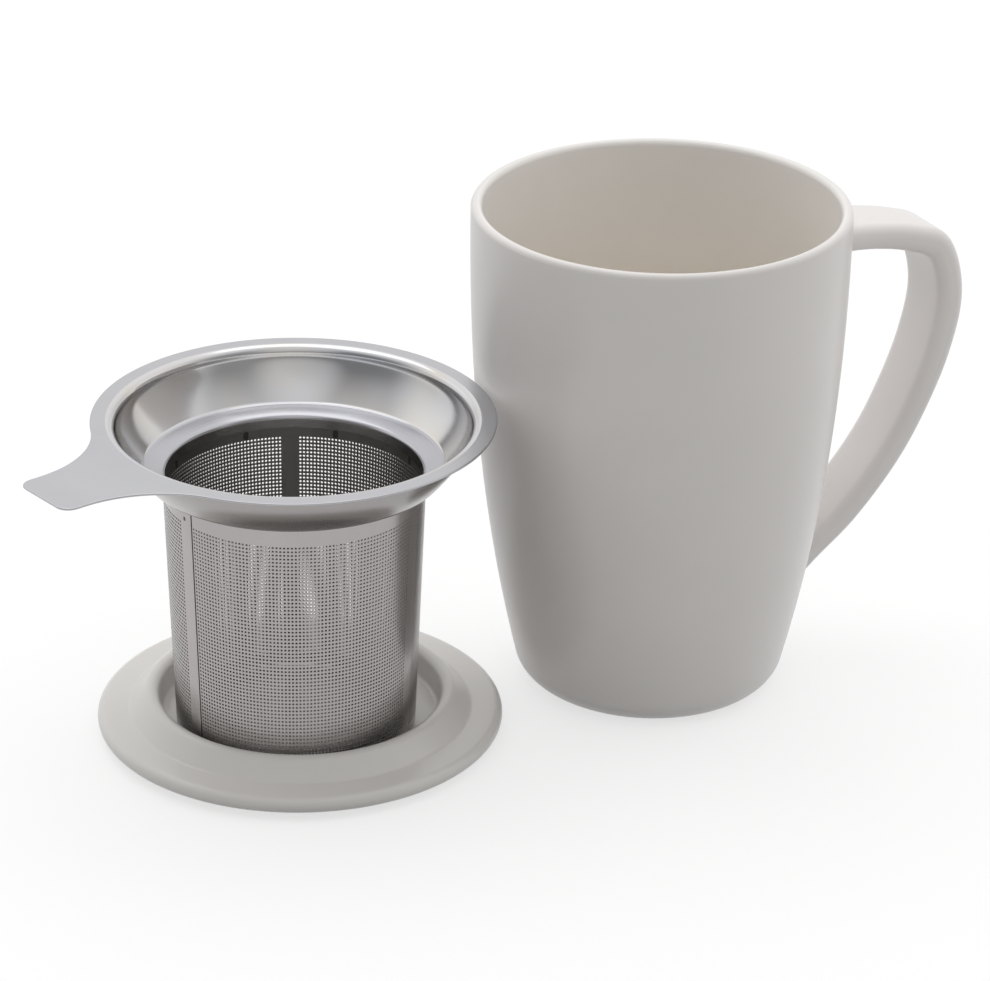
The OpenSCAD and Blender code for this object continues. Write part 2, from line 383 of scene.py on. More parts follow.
@dataclass(frozen=True)
class Porcelain:
    """Fired porcelain under a satin glaze: faint mottling, a soft sheen and a fine waviness."""

    name: str
    colour: Triple
    roughness: float = 0.36
    coat: float = 0.2
    coat_roughness: float = 0.22
    ior: float = 1.5
    mottle: float = 0.025
    mottle_scale: float = 24.0
    wave: float = 0.05
    wave_scale: float = 55.0
    grain: float = 0.04
    grain_scale: float = 900.0
    # painted shade: a warmer, darker colour laid on the low inside of a cup, where shade falls
    painted_shade: Triple | None = None
    painted_shade_span: Pair = (45.0 * MM, 116.0 * MM)

    def material(self) -> bpy.types.Material:
        """Build the material.

        Returns:
            The material: its colour follows slow noise, its roughness a fine grain and its
            normal a slow wave. A painted shade colour, when given, takes over as the height falls
            through its span, so the low inside reads warmer and darker.
        """
        recipe = Recipe(self.name)
        where = recipe.place()
        low, high = (tuple(c * (1 + part) for c in self.colour) for part in (-self.mottle, self.mottle))
        shade = recipe.mix(recipe.spread(recipe.noise(where, self.mottle_scale)), low, high)
        # painted shade: the colour turns warmer and darker as the height falls
        if self.painted_shade:
            height = recipe.node("SeparateXYZ", Vector=where).outputs[2]
            shade = recipe.mix(recipe.ramp(height, self.painted_shade_span, (1.0, 0.0)), shade, self.painted_shade)
        rough = recipe.spread(recipe.noise(where, self.grain_scale, detail=2.0),
                              self.roughness - self.grain, self.roughness + self.grain)
        recipe.set(Base_Color=shade, Roughness=rough, IOR=self.ior, Coat_Weight=self.coat,
                   Coat_Roughness=self.coat_roughness)
        recipe.bump((recipe.noise(where, self.wave_scale, detail=1.0), self.wave))
        return recipe.material


@dataclass(frozen=True)
class Steel:
    """Stainless steel: fine marks, round an axis where it is turned, and soft blotches; blotches toward a
    given tint are painted reflection.
    """

    name: str
    colour: Triple
    roughness: float
    centre: Pair
    marks: float = 0.05
    mark_scale: float = 2200.0
    mark_depth: float = 0.0015
    mark_drift: float = 2.0
    blotch: float = 0.04
    blotch_scale: float = 70.0
    dull: float = 0.96
    wave: float = 0.0
    wave_scale: float = 45.0
    turned: bool = True
    tint: Triple | None = None

    def ringed(self, recipe: Recipe, where: Socket) -> Socket:
        """Stretch a place round the axis.

        Args:
            recipe: the material under construction.
            where: the place, seen from the axis.

        Returns:
            The direction from the axis times mark_drift / mark_scale, with the height
            plus the radius added to its z.
        """
        x, y, z = recipe.node("SeparateXYZ", Vector=where).outputs
        flat = recipe.node("CombineXYZ", X=x, Y=y).outputs[0]
        toward = recipe.vector("NORMALIZE", flat)[0]
        slow = recipe.vector("SCALE", toward, Scale=self.mark_drift / self.mark_scale)[0]
        path = recipe.compute("ADD", recipe.vector("LENGTH", flat)["Value"], z)
        return recipe.vector("ADD", slow, i1=recipe.node("CombineXYZ", Z=path).outputs[0])[0]

    def material(self) -> bpy.types.Material:
        """Build the material.

        Returns:
            The material: marks and blotches change its roughness, blotches its colour
            from a duller shade, or toward a given tint as painted reflection, and waves and marks its
            normal.
        """
        recipe = Recipe(self.name)
        where = recipe.place(self.centre)
        spot = self.ringed(recipe, where) if self.turned else where
        marks = recipe.noise(spot, self.mark_scale, detail=2.0)
        blotch = recipe.noise(where, self.blotch_scale)
        fine = recipe.spread(marks, self.roughness - self.marks / 2, self.roughness + self.marks / 2)
        rough = recipe.compute("ADD", fine, recipe.spread(blotch, 0.0, self.blotch))
        # blotches toward a given tint are painted reflection; without one, a duller shade of the steel
        low = self.tint or tuple(c * self.dull for c in self.colour)
        recipe.set(Base_Color=recipe.mix(recipe.spread(blotch), low, self.colour), Metallic=1.0,
                   Roughness=rough)
        recipe.bump((recipe.noise(where, self.wave_scale, detail=1.0), self.wave),
                    (marks, self.mark_depth))
        return recipe.material


def dress(piece: Piece, body: str, finish: Finish, *materials: bpy.types.Material) -> None:
    """Give a piece its materials and its body.

    Args:
        piece: the piece.
        body: CAD body that it rides on.
        finish: not used.
        materials: its materials, in the order of its slots.
    """
    for material in materials:
        piece.data.materials.append(material)
    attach(piece, body)
    LOG.info("%s rides on %s: %d faces", piece.name, body, len(piece.data.polygons))


def axis_of(node: str) -> Pair:
    """X and y of the middle of a CAD node's box, in millimetres."""
    low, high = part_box(node)
    return (low.x + high.x) / 2 / MM, (low.y + high.y) / 2 / MM


# ---- Mug ----


@dataclass
class Mug:
    """The porcelain mug: a turned body and a swept strap handle."""

    height: float = 118.0
    rim_r: float = 43.3
    taper: float = 13.2
    power: float = 2.3
    wall: float = 2.6
    floor: float = 4.5
    foot_round: float = 6.0
    ring_w: float = 4.0
    recess: float = 1.2
    floor_round: float = 9.0
    columns: int = 288
    wall_steps: int = 72
    round_steps: int = 14
    rim_steps: int = 24
    turn: float = 27.5
    strap_w: Pair = (17.5, 16.5)
    strap_t: Triple = (6.3, 6.9, 5.8)
    bend: Pair = (0.1, 0.3)
    reach: float = 32.0
    drop: float = 13.85
    low_z: float = 23.8
    edge: float = 2.9
    edge_share: float = 0.46
    edge_steps: int = 9
    flat_steps: int = 6
    root_round: float = 2.2
    root_depth: float = 1.2
    strap_rings: int = 150
    fine_rings: int = 700
    crowding: float = 0.6

    def wall_r(self, z: Array) -> Array:
        """Radius of the outside wall: rim_r - taper (1 - z / height)^power."""
        return self.rim_r - self.taper * np.clip(1 - z / self.height, 0, 1) ** self.power

    def levels(self, low: float, high: float, rounding: float) -> Array:
        """Heights from low to high: by the cosine over the rounding, then even."""
        angle = np.linspace(0, math.pi / 2, self.round_steps, endpoint=False)
        return np.concatenate([low + rounding * (1 - np.cos(angle)),
                               np.linspace(low + rounding, high, self.wall_steps)])

    def body(self) -> Piece:
        """Make the turned body.

        Returns:
            The piece. Its section runs up the outside, over the half-round rim, down the
            inside to the middle of the floor, and back under the recessed foot.
        """
        half = self.wall / 2
        top = self.height - half
        floor_z = self.recess + self.floor
        z_out = self.levels(0, top, self.foot_round)
        z_in = self.levels(floor_z, top, self.floor_round)
        out_r = self.wall_r(z_out) - rounded_in(z_out, self.foot_round)
        in_r = self.wall_r(z_in) - self.wall - rounded_in(z_in - floor_z, self.floor_round)
        rim = arc(self.wall_r(top) - half, top, half, 0, 180, self.rim_steps)
        crest = self.rim_steps // 2 + 1
        foot_r = out_r[0] - self.ring_w - self.recess
        outside = joined(np.stack([out_r, z_out], axis=1), rim[:crest])
        inside = joined(rim[crest:], np.stack([in_r, z_in], axis=1)[::-1],
                        line((in_r[0], floor_z), (0, floor_z), steps=8))
        under = joined(line((0, self.recess), (foot_r, self.recess), steps=6),
                       arc(foot_r, 0, self.recess, 90, 0, steps=6))
        shape = Shape()
        shape.turn(np.vstack([outside, inside, under]), (0, 0), self.columns,
                   np.repeat([0, 1, 0], [len(outside), len(inside), len(under)]))
        return shape.piece("mug_wall_and_foot")

    def strap_line(self, share: Array) -> tuple[Array, Array]:
        """Middle line of the strap: a Catmull-Rom curve through points given as shares.

        Args:
            share: shares of the way from the upper root to the lower one.

        Returns:
            The line's points (radius, height) and its unit directions.
        """
        shape = np.array([
            [-0.1, 0], [0.3, 0.01], [0.66, 0.041], [0.888, 0.09], [0.992, 0.24], [0.918, 0.41],
            [0.745, 0.58], [0.525, 0.73], [0.2, 0.88], [-0.15, 0.995], [-0.55, 1.14]])
        top = self.height - self.drop
        knots = np.stack([self.rim_r + self.reach * shape[:, 0],
                          top - (top - self.low_z) * shape[:, 1]], axis=1)
        last = len(knots) - 1
        where = np.clip(share, 0, 1) * last
        i = np.minimum(where.astype(int), last - 1)
        t = (where - i)[:, None]
        a, b, c, d = (knots[np.clip(i + k, 0, last)] for k in (-1, 0, 1, 2))
        one, two, three = c - a, 2 * a - 5 * b + 4 * c - d, 3 * b - a - 3 * c + d
        point = 0.5 * (2 * b + one * t + two * t**2 + three * t**3)
        return point, unit(0.5 * (one + 2 * two * t + 3 * three * t**2))

    def section(self, share: Array) -> tuple[Array, Array]:
        """Sections of the strap: rounded oblongs, across it and through it.

        Args:
            share: shares of the way along the strap.

        Returns:
            Offsets and outward normals, by ring, side and (across, through).
        """
        start, thick = self.bend
        t_top, t_bend, t_low = self.strap_t
        thickness = np.where(
            share < thick,
            t_top + (t_bend - t_top) * smooth_step((share - start) / (thick - start)),
            t_bend + (t_low - t_bend) * smooth_step((share - thick) / (1 - thick)))
        width = self.strap_w[0] + (self.strap_w[1] - self.strap_w[0]) * smooth_step(share)
        radius = np.minimum(self.edge, self.edge_share * thickness)[:, None]
        middle = (np.stack([width, thickness], axis=1) / 2 - radius)[:, None] * [
            [1, 1], [-1, 1], [-1, -1], [1, -1]]
        angle = np.radians(90 * np.arange(4)[:, None] + np.linspace(0, 90, self.edge_steps + 1))
        normal = np.stack([np.cos(angle), np.sin(angle)], axis=2)
        edges = middle[:, :, None] + radius[..., None, None] * normal
        last, after = edges[:, :, -1:], np.roll(edges[:, :, :1], -1, axis=1)
        part = np.linspace(0, 1, self.flat_steps + 1)[1:-1, None]
        sides = np.concatenate([edges, last + (after - last) * part], axis=2)
        normal = np.concatenate([normal, np.repeat(normal[:, -1:], len(part), axis=1)], axis=1)
        return (sides.reshape(len(share), -1, 2),
                np.broadcast_to(normal, sides.shape).reshape(len(share), -1, 2))

    def strap_surface(self, share: Array) -> tuple[Array, Array]:
        """Surface of the strap and its normals: each section set square to the middle line.

        Args:
            share: share of the way along the strap, for each ring.

        Returns:
            Points and normals by ring and side, as (radial, sideways, height).
        """
        point, heading = self.strap_line(share)
        out = np.stack([-heading[:, 1], heading[:, 0]], axis=1)[:, None]

        def placed(flat: Array) -> Array:
            """Turn (across, through) into (radial, sideways, height)."""
            through = out * flat[..., 1:]
            return np.stack([through[..., 0], flat[..., 0], through[..., 1]], axis=2)

        offset, normal = (placed(flat) for flat in self.section(share))
        return np.insert(point, 1, 0.0, axis=1)[:, None] + offset, normal

    def clearance(self, points: Array) -> Array:
        """Distance of points outside the mug's wall, along the radius."""
        return np.hypot(points[..., 0], points[..., 1]) - self.wall_r(points[..., 2])

    def flared(self, surface: Array, normal: Array) -> Array:
        """Spread the strap over the wall near it.

        A point moves along the wall, away from the strap, by rounded_in(d, root_round),
        with d its distance from the wall.

        Args:
            surface: points of the strap, by ring and side.
            normal: their outward normals.

        Returns:
            The moved points.
        """
        climb = np.gradient(surface[..., 2], axis=0) + TINY
        slope = np.gradient(self.wall_r(surface[..., 2]), axis=0) / climb
        rise = np.clip(slope, 0, 1)[..., None] * [0.0, 0.0, 1.0]
        wall_normal = unit(unit(surface * [1.0, 1.0, 0.0]) - rise)
        along = normal - wall_normal * np.sum(normal * wall_normal, axis=2, keepdims=True)
        along /= np.linalg.norm(along, axis=2, keepdims=True) + TINY
        return surface + along * rounded_in(self.clearance(surface), self.root_round)[..., None]

    def handle(self) -> Piece:
        """Make the strap handle, each line along it ending root_depth inside the wall.

        Returns:
            The piece. Its rings are read between fine ones, closer together at the roots.
        """
        points, normals = self.strap_surface(np.linspace(0, 1, self.fine_rings))
        outside = self.clearance(points) > -self.root_depth
        middle = self.fine_rings // 2
        first = middle - np.argmin(outside[middle::-1], axis=0) + 1
        last = middle + np.argmin(outside[middle:], axis=0) - 1
        even = np.linspace(0, 1, self.strap_rings)
        share = self.crowding * eased(self.strap_rings) + (1 - self.crowding) * even
        where = first + share[:, None] * (last - first)
        low = np.clip(np.floor(where).astype(int), 0, self.fine_rings - 2)
        part = (where - low)[..., None]
        side = np.arange(points.shape[1])
        surface, normal = (fine[low, side] * (1 - part) + fine[low + 1, side] * part
                           for fine in (points, normals))
        turned = turned_by(self.turn, self.flared(surface, normal))
        sides = len(side)
        shape = Shape()
        shape.add(turned, grid_faces(len(turned), sides)[:, ::-1])
        for ring, order in ((turned[0], 1), (turned[-1], -1)):
            shape.add(np.vstack([ring, ring.mean(axis=0)]), fan(sides, sides)[:, ::order])
        return shape.piece("mug_strap_handle")

    def build(self) -> None:
        """Make and dress the mug's pieces."""
        glaze = Porcelain("porcelain_outside", (0.80, 0.77, 0.748)).material()
        # painted light and shade: the inside is a lighter copy of the outside porcelain, turning warmer
        # and darker low down
        inside_glaze_painted_light_and_shade = Porcelain("porcelain_inside_painted_light_and_shade", (0.87, 0.845, 0.815), painted_shade=(0.87, 0.80, 0.70)).material()
        body = self.body()
        dress(body, "mug", Finish.MUG, glaze, inside_glaze_painted_light_and_shade)
        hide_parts("mug_body")
        handle = self.handle()
        dress(handle, "mug", Finish.MUG, glaze)
        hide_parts("mug_handle")


# ---- Lid ----


@dataclass
class Lid:
    """The loose lid, upside down: a flange with a collar and a well."""

    centre: Pair
    radius: float = 46.6
    edge_t: float = 3.8
    edge_lift: float = 1.7
    flat_r: float = 36.0
    floor: float = 3.2
    collar_h: float = 10.1
    collar_in_r: float = 32.2
    collar_foot_r: float = 39.3
    crest_t: float = 4.2
    foot_round: float = 1.2
    well_round: float = 1.2
    under_steps: int = 10
    columns: int = 320

    def profile(self) -> Array:
        """Section of the lid, anticlockwise from the middle of the face on the table.

        Returns:
            The section: a parabola out to the edge, the half-round edge, the plate, the
            collar's slope up to its crest, and its inner wall down to the well's floor.
        """
        half = self.edge_t / 2
        plate_z = self.edge_lift + self.edge_t
        crest = self.crest_t / 2
        crest_x, crest_z = self.collar_in_r + crest, self.collar_h - crest
        dx, dz = self.collar_foot_r - crest_x, plate_z - crest_z
        slope = math.degrees(math.atan2(dz, dx) + math.acos(crest / math.hypot(dx, dz)))
        foot = 90 - slope
        foot_x = self.collar_foot_r + self.foot_round * math.tan(math.radians(foot / 2))
        edge_x, well_x = self.radius - half, self.collar_in_r - self.well_round
        share = np.linspace(0, 1, self.under_steps)
        under = np.stack([self.flat_r + (edge_x - self.flat_r) * share,
                          self.edge_lift * share**2], axis=1)
        return joined(
            line((0, 0), (self.flat_r, 0), steps=8), under,
            arc(edge_x, plate_z - half, half, -90, 90, steps=24),
            line((edge_x, plate_z), (foot_x, plate_z), steps=4),
            arc(foot_x, plate_z + self.foot_round, self.foot_round, -90, -90 - foot, steps=8),
            arc(crest_x, crest_z, crest, slope, 180, steps=18),
            arc(well_x, self.floor + self.well_round, self.well_round, 0, -90, steps=10),
            line((well_x, self.floor), (0, self.floor), steps=8))

    def build(self) -> None:
        """Make and dress the lid."""
        shape = Shape()
        shape.turn(self.profile(), self.centre, self.columns)
        piece = shape.piece("lid_shell")
        glaze = Porcelain("lid_glaze", (0.728, 0.705, 0.678), coat=0.25, coat_roughness=0.16).material()
        dress(piece, "lid", Finish.LID, glaze)
        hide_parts("lid")


# ---- Infuser ----


@dataclass
class Infuser:
    """The steel infuser: rim with tab, bowl and neck, perforated sleeve and base."""

    centre: Pair
    rim_top: float
    rim_r: float = 45.3
    sheet_t: float = 0.5
    bowl_in_r: float = 39.9
    rim_bend: float = 2.0
    bowl_depth: float = 11.4
    bowl_power: float = 1.35
    shelf_r: float = 33.8
    shelf_fall: float = 0.9
    neck_bend: float = 1.2
    neck_l: float = 3.0
    neck_r: float = 28.6
    neck_rows: int = 7
    shelf_rows: int = 13
    bowl_steps: int = 25
    flat_rows: int = 7
    tab_len: float = 22.4
    tab_w: float = 18.0
    tab_fillet: float = 26.0
    tab_corner: float = 3.2
    tab_turn: float = -140.0
    sleeve_low: float = 4.4
    sleeve_top: float = 65.87
    sleeve_low_r: float = 27.4
    sleeve_top_r: float = 29.6
    sleeve_t: float = 0.3
    strips: tuple[Pair, ...] = ((-141.0, 4.4), (-23.0, 3.9), (94.8, 3.9))
    lap_cuts: tuple[float, ...] = (0.0, 0.35, 0.6, 0.78, 0.86, 0.895, 0.896, 0.965, 0.966)
    lap_rise: tuple[float, ...] = (0.0, 0.02, 0.06, 0.09, 0.1, 0.08, -0.25, -0.25, 0.0)
    strip_steps: int = 5
    hole_r: float = 0.275
    hole_step: float = 0.85
    hole_rows: int = 60
    band_rows: int = 3
    hole_pitch: float = 0.91
    first_hole_drop: float = 2.45
    weld_turn: float = -142.4
    weld_size: Pair = (0.75, 0.95)
    # small dark marks on the inner face under the neck's end, in the same dark colour as the seam weld
    neck_dark_mark_turns: tuple[float, ...] = (29.4, 74.0, 115.2, 159.0, -157.0, -113.0, -69.0, -15.0)
    neck_dark_mark_size: Pair = (1.35, 2.1)
    weld_step: int = 15
    weld_t: float = 0.03
    weld_z: float = 62.6
    base_t: float = 0.5
    base_round: float = 1.2
    base_rim_h: float = 4.0
    base_z: float = 3.2
    base_gap: float = 0.03
    base_columns: int = 240

    def outline(self) -> Array:
        """Outline of the rim and its tab, anticlockwise, the tab along +X.

        Returns:
            Points of the tab's end, rounded corners and sides, the hollow curves
            that touch the rim's circle, and that circle.
        """
        half, corner, hollow = self.tab_w / 2, self.tab_corner, self.tab_fillet
        end = self.rim_r + self.tab_len
        y = half + hollow
        x = math.sqrt((self.rim_r + hollow) ** 2 - y**2)
        meet = math.degrees(math.atan2(y, x))
        upper = [line((end, 0), (end, half - corner), steps=4),
                 arc(end - corner, half - corner, corner, 0, 90, steps=8),
                 line((end - corner, half), (x, half), steps=6),
                 arc(x, y, hollow, 270, 180 + meet, steps=20)]
        rim = arc(0, 0, self.rim_r, meet, 360 - meet, steps=330)
        lower = [part[::-1] * [1, -1] for part in reversed(upper)]
        return joined(*upper, rim, *lower)[:-1]

    def funnel_line(self) -> Array:
        """Upper face of the turned sheet, from the flat's inner edge down to the neck's end.

        The bowl's radius is bowl_in_r - (bowl_in_r - shelf_r) s^bowl_power at share s of
        its depth.

        Returns:
            Points (radius, height).
        """
        top = self.rim_top - self.rim_bend
        shelf_z = self.rim_top - self.bowl_depth
        lip_z = shelf_z - self.shelf_fall
        lip_x, bend = self.neck_r + self.neck_bend, self.neck_bend
        share = np.linspace(0, 1, self.bowl_steps + 1)[1:]
        bowl = np.stack([self.bowl_in_r - (self.bowl_in_r - self.shelf_r) * share**self.bowl_power,
                         top - (top - shelf_z) * share], axis=1)
        lean = math.degrees(math.atan(self.shelf_fall / (self.shelf_r - self.neck_r - bend)))
        lip = arc(lip_x, lip_z - bend, bend, 90 + lean, 180, steps=10)
        return joined(arc(self.bowl_in_r + self.rim_bend, top, self.rim_bend, 90, 180, steps=10),
                      bowl, line(tuple(bowl[-1]), tuple(lip[0]), steps=6), lip,
                      line(tuple(lip[-1]), (self.neck_r, lip_z - self.neck_l), steps=3))

    def funnel(self) -> Piece:
        """Make the rim, tab, bowl and neck as one closed sheet.

        The columns follow the outline. Each runs inwards from the outline's rounded edge
        over the flat, round the turned line and back under it.

        Returns:
            The piece, with the flat in the second material slot, the neck and the
            outside in the third, a darker steel that paints their shade, and the shelf in the fourth.
        """
        outline = self.outline()
        step = unit(np.roll(outline, -1, axis=0) - np.roll(outline, 1, axis=0))
        outward = np.stack([step[:, 1], -step[:, 0]], axis=1)
        half = self.sheet_t / 2

        def rows_of(part: Array, along: Array, start: Array | float = 0.0) -> Array:
            """A row for each (r, z) of a line: start + r along, at the height z."""
            x, y = np.moveaxis(start + part[:, None, :1] * along, -1, 0)
            return np.stack(np.broadcast_arrays(x, y, part[:, 1:]), axis=-1)

        edge = rows_of(arc(0, self.rim_top - half, half, -90, 90, steps=8),
                       outward, outline - outward * half)
        sheet = self.funnel_line()
        upper, under = (rows_of(part, unit(outline)) for part in (
            sheet, left_offset(sheet, self.sheet_t)[::-1]))
        share = eased(self.flat_rows + 2)[1:-1, None, None]
        rows = np.concatenate([edge, edge[-1] + share * (upper[0] - edge[-1]), upper,
                               under, under[-1] + share * (edge[0] - under[-1])])
        count, columns = rows.shape[:2]
        slots = np.repeat([1, 0, 3, 2, 1], [
            len(edge) + self.flat_rows, len(upper) - self.shelf_rows - self.neck_rows, self.shelf_rows,
            self.neck_rows + len(under) - 1, 1 + self.flat_rows])
        shape = Shape()
        shape.add(turned_by(self.tab_turn, rows, self.centre),
                  grid_faces(count, columns, close_rows=True), np.repeat(slots, columns))
        return shape.piece("infuser_rim_and_bowl", crease=50)

    def sleeve_r(self, z: Array) -> Array:
        """Outside radius of the sleeve: a straight taper from its top to its low end."""
        share = (z - self.sleeve_low) / (self.sleeve_top - self.sleeve_low)
        return self.sleeve_low_r + (self.sleeve_top_r - self.sleeve_low_r) * share

    def sleeve_third(self, number: int) -> Piece:
        """Make a third of the sleeve: a solid strip and a perforated panel.

        Args:
            number: 0 for the third whose strip is the seam, and on anticlockwise.

        Returns:
            The piece. Its holes are octagons in a square grid, cut straight through.
        """
        (turn, width), (next_turn, next_width) = self.strips[number], self.strips[(number + 1) % 3]
        degree = math.radians(self.sleeve_top_r)
        strip = width / degree
        start = turn - strip / 2
        stretch = (next_turn - next_width / degree / 2 - start) % 360
        cuts, raised = np.array(self.lap_cuts), np.array(self.lap_rise)
        if number:
            cuts = np.linspace(0, 1, self.strip_steps, endpoint=False)
            raised = np.zeros(self.strip_steps)
        hole_columns = round((stretch - strip) * degree / self.hole_step)
        panel = np.linspace(strip, stretch, hole_columns + 1)
        angles = np.radians(start + np.concatenate([cuts * strip, panel]))
        neck_end = self.rim_top - self.bowl_depth - self.shelf_fall - self.neck_l
        hole_top = neck_end - self.first_hole_drop
        rows = hole_top - self.hole_pitch * np.arange(self.hole_rows + 1)[::-1]
        band = np.linspace(hole_top, self.sleeve_top, self.band_rows + 1)[1:]
        heights = np.concatenate([[self.sleeve_low], rows, band])
        holed = np.zeros((len(heights) - 1, len(angles) - 1), bool)
        holed[1:self.hole_rows + 1, len(cuts):] = True
        shape = self.perforated(angles, heights, holed, np.append(raised, np.zeros(len(panel))))
        return shape.piece(f"infuser_sleeve_third_{number + 1}", crease=35)

    def wall_point(self, angle: Array, z: Array | float, inward: Array | float) -> Array:
        """Points of the sleeve: (r cos a, r sin a, z) about the axis, r the radius less inward."""
        return about(self.centre, self.sleeve_r(z) - inward, angle, z)

    def perforated(self, angles: Array, heights: Array, holed: Array, raised: Array) -> Shape:
        """Make a wall of cells between angles and heights, with holes where holed says so.

        Args:
            angles: cuts round the axis, in radians.
            heights: cuts up the wall.
            holed: whether each cell has a hole, by row and column.
            raised: how far the wall stands out at each angle.

        Returns:
            The shape: a front and a back grid, with an octagon cut through each holed cell
            and narrow faces round the border.
        """
        rows, columns = len(heights), len(angles)
        size = rows * columns
        low = np.arange(size).reshape(rows, columns)[:-1, :-1]
        cells = np.stack([low + columns + 1, low + columns, low, low + 1], axis=2)
        solid = np.roll(cells[~holed], 2, axis=1)
        a, z = np.meshgrid(angles, heights)
        shape = Shape()
        shape.add(np.stack([self.wall_point(a, z, inward) for inward in (-raised, self.sleeve_t)]), solid)
        # slot 1, the inner side and hole walls, takes the darker steel that paints shade
        shape.more_faces(solid[:, ::-1] + size, 1)
        i, j = np.nonzero(holed)
        z = (heights[i] + heights[i + 1])[:, None] / 2
        a = (angles[j] + angles[j + 1])[:, None] / 2 + self.hole_r * np.cos(OCTAGON) / self.sleeve_r(z)
        z = z + self.hole_r * np.sin(OCTAGON)
        here = np.arange(a.size).reshape(a.shape)
        after = np.roll(here, -1, axis=1)
        walls = np.stack([here, after, after + a.size, here + a.size], axis=2)
        front = shape.count + here
        shape.add(np.stack([self.wall_point(a, z, inward) for inward in (0.0, self.sleeve_t)]),
                  walls.reshape(-1, 4), 1)
        for slot, ring, corners, flip in ((0, front, cells[holed], 1),
                                          (1, front + a.size, cells[holed] + size, -1)):
            for k in range(4):
                one, two, three = (ring[:, (2 * k + side) % 8] for side in range(3))
                near, far = corners[:, k], corners[:, (k + 1) % 4]
                for face in ([near, two, one], [near, far, three, two]):
                    shape.more_faces(np.stack(face, axis=1)[:, ::flip], slot)
        low, left = np.arange(columns), np.arange(rows) * columns
        for run, flip in ((low, -1), (low + left[-1], 1), (left, 1), (left + low[-1], -1)):
            quads = np.stack([run[:-1], run[1:], run[1:] + size, run[:-1] + size], axis=1)
            shape.more_faces(quads[:, ::flip])
        return shape

    def weld_and_dark_marks(self) -> Piece:
        """Make a spot weld on the seam's face, and a row of small dark marks inside under the neck's end.

        Returns:
            The piece. Each weld or mark is a squared ring laid on the wall: half its width times
            the root of cos t, half its height times the root of sin t, each with the sign
            of the cos or sin. Fans close it to a point before the ring and one behind it.
        """
        turns = np.radians([self.weld_turn, *self.neck_dark_mark_turns])
        inside = np.arange(len(turns))[:, None] > 0
        wide, tall = np.hsplit(np.where(inside, self.neck_dark_mark_size, self.weld_size) / 2, 2)
        depth = np.where(inside, self.sleeve_t, -self.weld_t)
        t = np.radians(np.arange(0, 360, self.weld_step))
        across, upward = (np.sign(share) * np.sqrt(np.abs(share)) for share in (np.cos(t), np.sin(t)))
        z = self.weld_z + tall * upward
        ring = self.wall_point(turns[:, None] + wide * across / self.sleeve_r(z), z, depth)
        tips = self.wall_point(turns[:, None], self.weld_z, depth + [-self.weld_t, self.weld_t])
        points = np.concatenate([ring, tips], axis=1)
        sides = len(t)
        fans = np.concatenate([fan(sides, sides), fan(sides, sides + 1)[:, [1, 0, 2]]])
        first = points.shape[1] * np.arange(len(turns))[:, None, None]
        shape = Shape()
        shape.add(points, (fans + first).reshape(-1, 3))
        return shape.piece("infuser_spot_weld_and_dark_marks")

    def base(self) -> Piece:
        """Make the base: a disc with a rounded edge, its rim turned up inside the sleeve.

        Returns:
            The piece.
        """
        gap = self.sleeve_t + self.base_gap
        bend_z, high = self.base_z + self.base_round, self.base_z + self.base_rim_h
        low_r = self.sleeve_r(bend_z) - gap
        flat_r = low_r - self.base_round
        path = joined(line((0, self.base_z), (flat_r, self.base_z), steps=12),
                      arc(flat_r, bend_z, self.base_round, -90, 0, steps=8),
                      line((low_r, bend_z), (self.sleeve_r(high) - gap, high), steps=2))
        shape = Shape()
        shape.turn(np.vstack([path, left_offset(path, self.base_t)[::-1]]), self.centre,
                   self.base_columns)
        return shape.piece("infuser_base_disc")

    def build(self) -> None:
        """Make and dress the infuser's pieces."""
        even = {"turned": False, "mark_scale": 300, "mark_depth": 0.0}
        mirror, satin, shelf, outside, sheet, painted_shade_lining, weld = (
            Steel(f"steel_{name}", colour, roughness, self.centre, **rest).material()
            for name, colour, roughness, rest in (
                # painted reflection: the polished steel drifts in patches between a cool colour and a
                # warm-brown tint
                ("polished", (0.59, 0.60, 0.64), 0.12,
                 {"wave": 0.35, "blotch_scale": 50, "tint": (0.59, 0.565, 0.53)}),
                ("rim", (0.475, 0.475, 0.495), 0.30, {"mark_scale": 900}),
                ("shelf", (0.45, 0.45, 0.475), 0.14, {"wave": 0.3}),
                # painted shade: the funnel's outside and neck are a darker copy of the same steel
                ("outside", (0.37, 0.355, 0.35), 0.20, {"wave": 0.1}),
                ("etched", (0.41, 0.39, 0.385), 0.22, even),
                # painted shade: the sleeve's inner side and hole walls are a darker copy of the etched
                # steel
                ("etched_inside_painted_shade", (0.25, 0.24, 0.235), 0.38, even),
                # one dark colour serves the seam weld and the dark marks under the neck
                ("weld", (0.10, 0.09, 0.09), 0.5, {"turned": False})))
        funnel = self.funnel()
        dress(funnel, "infuser", Finish.POLISHED, mirror, satin, outside, shelf)
        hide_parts("infuser_funnel")
        for number in range(3):
            third = self.sleeve_third(number)
            dress(third, "infuser", Finish.SHEET, sheet, painted_shade_lining)
            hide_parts("infuser_sleeve")
        dress(self.weld_and_dark_marks(), "infuser", Finish.SHEET, weld)
        base = self.base()
        dress(base, "infuser", Finish.SHEET, sheet)
        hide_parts("infuser_base")


# ---- Studio ----


